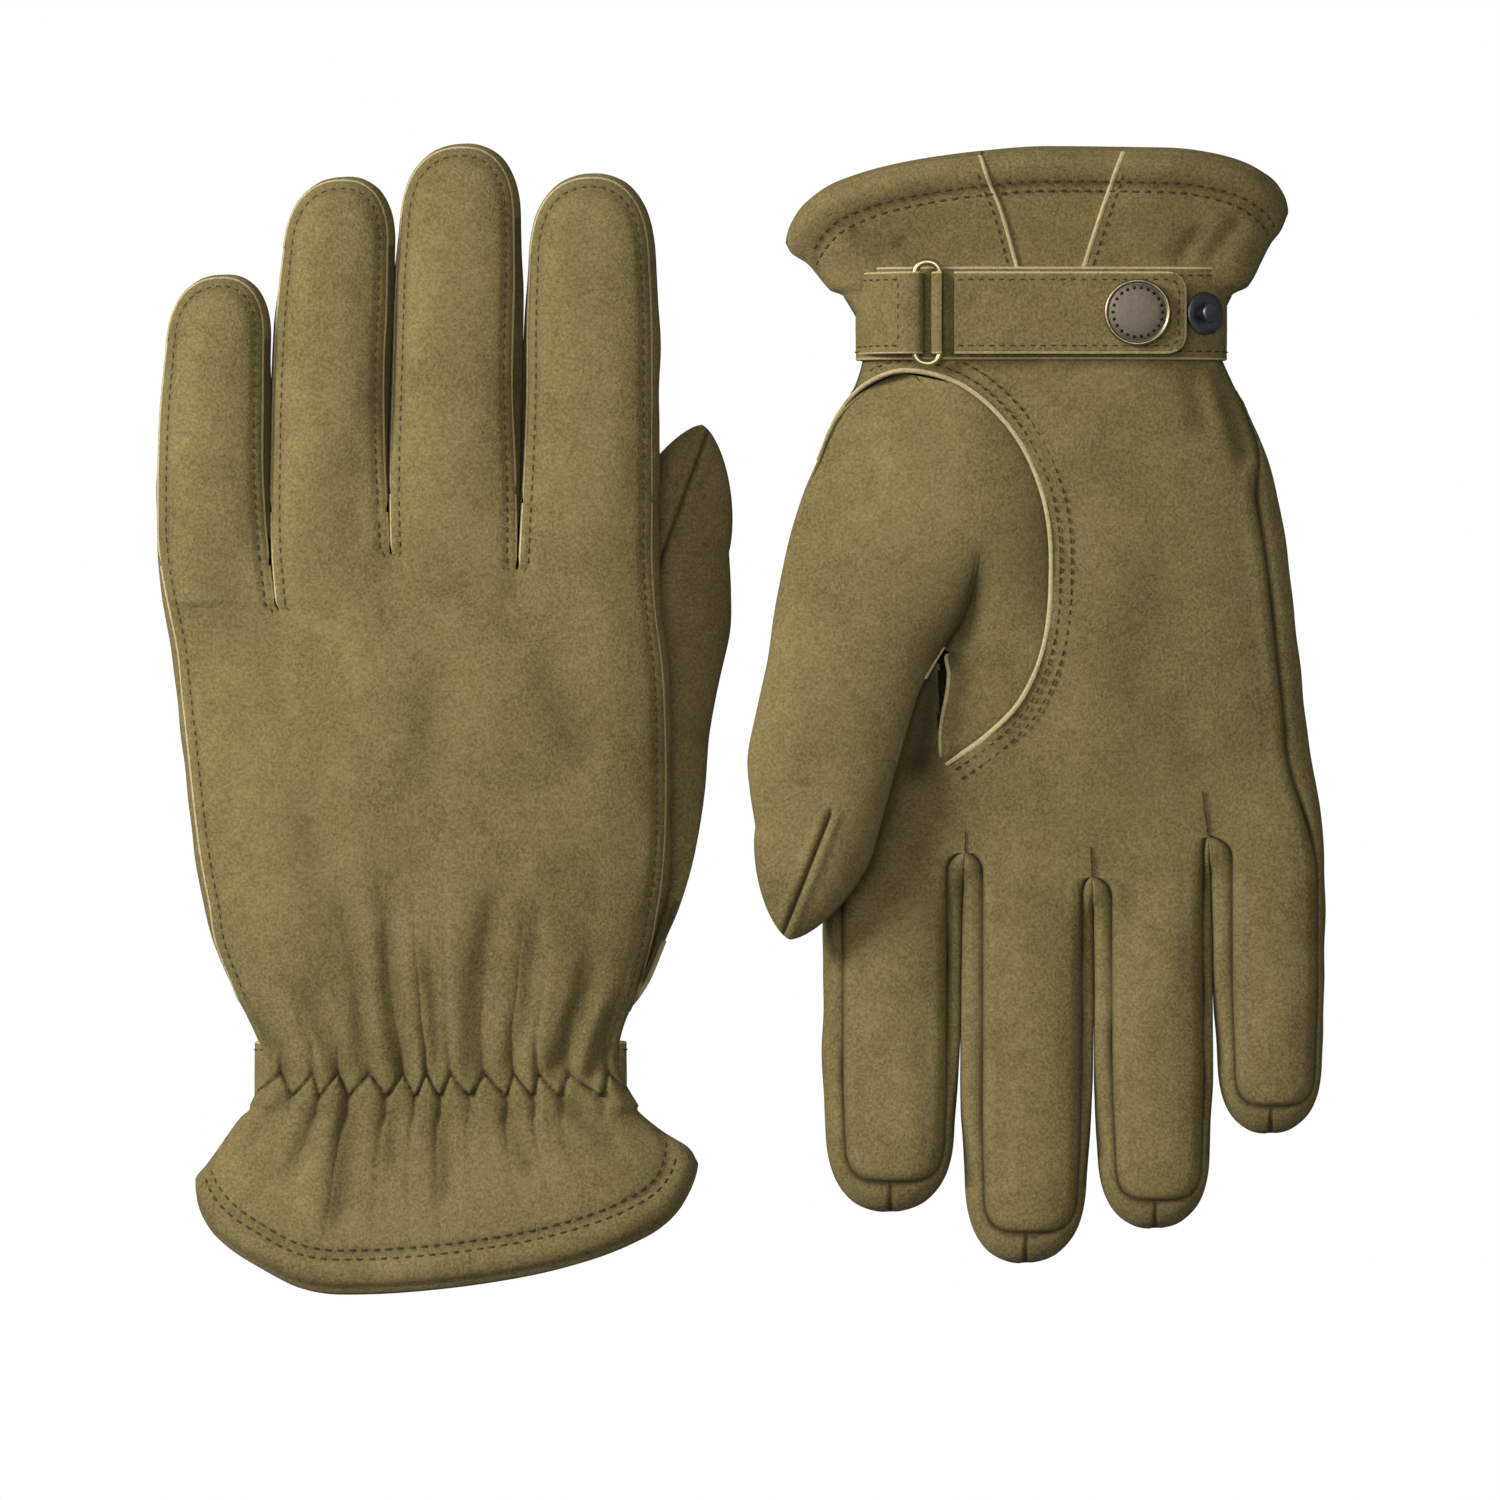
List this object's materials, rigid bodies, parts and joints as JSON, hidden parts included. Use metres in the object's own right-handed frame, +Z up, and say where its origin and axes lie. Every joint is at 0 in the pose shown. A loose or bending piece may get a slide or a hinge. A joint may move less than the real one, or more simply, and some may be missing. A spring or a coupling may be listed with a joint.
{
  "type": "pair of leather driving gloves",
  "caption": "Pair of olive suede driving gloves with gathered wrist, flared cuff and ring-and-stud strap; fingers, thumbs and straps bend.",
  "frame": {"origin": "on the floor under the middle of the pair's bounding box", "axes": "+Z up; +X from the left glove to the right glove; the left glove's fingers point to +Y and the right glove's to -Y"},
  "size_m": [0.2615, 0.2557, 0.0429],
  "materials": {
    "suede": "olive-green suede",
    "elastic": "woven elastic",
    "ring_brass": "brushed brass-coloured wire",
    "aged_brass": "antique brass, worn on the rim",
    "gunmetal": "dark gunmetal plate"
  },
  "bodies": {
    "left_hand": {"left_back_panel": "suede", "left_palm_panel": "suede", "left_fourchettes": "suede", "left_index_side_strip": "suede", "left_little_side_strip": "suede", "left_thumb_base": "suede", "left_cuff_gore": "suede", "left_cuff_facing": "suede", "left_wrist_elastic": "elastic", "left_strap_base": "suede", "left_strap_tab": "suede", "left_strap_ring": "ring_brass", "left_snap_stud": "gunmetal", "left_spare_stud": "gunmetal"},
    "left_little_finger": {"left_little_tip_back": "suede", "left_little_tip_palm": "suede", "left_little_tip_sides": "suede"},
    "left_ring_finger": {"left_ring_tip_back": "suede", "left_ring_tip_palm": "suede", "left_ring_tip_sides": "suede"},
    "left_middle_finger": {"left_middle_tip_back": "suede", "left_middle_tip_palm": "suede", "left_middle_tip_sides": "suede"},
    "left_index_finger": {"left_index_tip_back": "suede", "left_index_tip_palm": "suede", "left_index_tip_sides": "suede"},
    "left_thumb": {"left_thumb_tip": "suede"},
    "left_strap": {"left_strap_flap": "suede", "left_snap_cap": "aged_brass", "left_snap_socket": "gunmetal"},
    "right_hand": {"right_back_panel": "suede", "right_palm_panel": "suede", "right_fourchettes": "suede", "right_index_side_strip": "suede", "right_little_side_strip": "suede", "right_thumb_base": "suede", "right_cuff_gore": "suede", "right_cuff_facing": "suede", "right_wrist_elastic": "elastic", "right_strap_base": "suede", "right_strap_tab": "suede", "right_strap_ring": "ring_brass", "right_snap_stud": "gunmetal", "right_spare_stud": "gunmetal"},
    "right_little_finger": {"right_little_tip_back": "suede", "right_little_tip_palm": "suede", "right_little_tip_sides": "suede"},
    "right_ring_finger": {"right_ring_tip_back": "suede", "right_ring_tip_palm": "suede", "right_ring_tip_sides": "suede"},
    "right_middle_finger": {"right_middle_tip_back": "suede", "right_middle_tip_palm": "suede", "right_middle_tip_sides": "suede"},
    "right_index_finger": {"right_index_tip_back": "suede", "right_index_tip_palm": "suede", "right_index_tip_sides": "suede"},
    "right_thumb": {"right_thumb_tip": "suede"},
    "right_strap": {"right_strap_flap": "suede", "right_snap_cap": "aged_brass", "right_snap_socket": "gunmetal"}
  },
  "joints": [
    {"name": "left_little_bend", "type": "hinge", "parent": "left_hand", "child": "left_little_finger", "pos_m": [-0.1197, 0.0499, 0.0216], "axis": [-1, 0, 0], "range_deg": [0, 60]},
    {"name": "left_ring_bend", "type": "hinge", "parent": "left_hand", "child": "left_ring_finger", "pos_m": [-0.0933, 0.0619, 0.0216], "axis": [-1, 0, 0], "range_deg": [0, 60]},
    {"name": "left_middle_bend", "type": "hinge", "parent": "left_hand", "child": "left_middle_finger", "pos_m": [-0.0652, 0.0659, 0.0216], "axis": [-1, 0, 0], "range_deg": [0, 60]},
    {"name": "left_index_bend", "type": "hinge", "parent": "left_hand", "child": "left_index_finger", "pos_m": [-0.0344, 0.0639, 0.0216], "axis": [-1, 0, 0], "range_deg": [0, 60]},
    {"name": "left_thumb_bend", "type": "hinge", "parent": "left_hand", "child": "left_thumb", "pos_m": [-0.0232, 0.0229, 0.0086], "axis": [-0.3345, 0.0711, 0.9397], "range_deg": [0, 40]},
    {"name": "left_strap_open", "type": "hinge", "parent": "left_hand", "child": "left_strap", "pos_m": [-0.0455, -0.0831, 0.0113], "axis": [0, -1, 0], "range_deg": [0, 120]},
    {"name": "right_little_bend", "type": "hinge", "parent": "right_hand", "child": "right_little_finger", "pos_m": [0.1176, -0.0425, 0.0216], "axis": [-1, 0, 0], "range_deg": [0, 60]},
    {"name": "right_ring_bend", "type": "hinge", "parent": "right_hand", "child": "right_ring_finger", "pos_m": [0.0912, -0.0545, 0.0216], "axis": [-1, 0, 0], "range_deg": [0, 60]},
    {"name": "right_middle_bend", "type": "hinge", "parent": "right_hand", "child": "right_middle_finger", "pos_m": [0.0631, -0.0585, 0.0216], "axis": [-1, 0, 0], "range_deg": [0, 60]},
    {"name": "right_index_bend", "type": "hinge", "parent": "right_hand", "child": "right_index_finger", "pos_m": [0.0323, -0.0565, 0.0216], "axis": [-1, 0, 0], "range_deg": [0, 60]},
    {"name": "right_thumb_bend", "type": "hinge", "parent": "right_hand", "child": "right_thumb", "pos_m": [0.0211, -0.0155, 0.0346], "axis": [-0.3345, 0.0711, 0.9397], "range_deg": [0, 40]},
    {"name": "right_strap_open", "type": "hinge", "parent": "right_hand", "child": "right_strap", "pos_m": [0.0434, 0.0905, 0.0319], "axis": [0, -1, 0], "range_deg": [0, 120]},
    {"name": "right_glove_lift", "type": "slide", "parent": "left_hand", "child": "right_hand", "axis": [0, 0, 1], "range_m": [0, 0.12]}
  ]
}
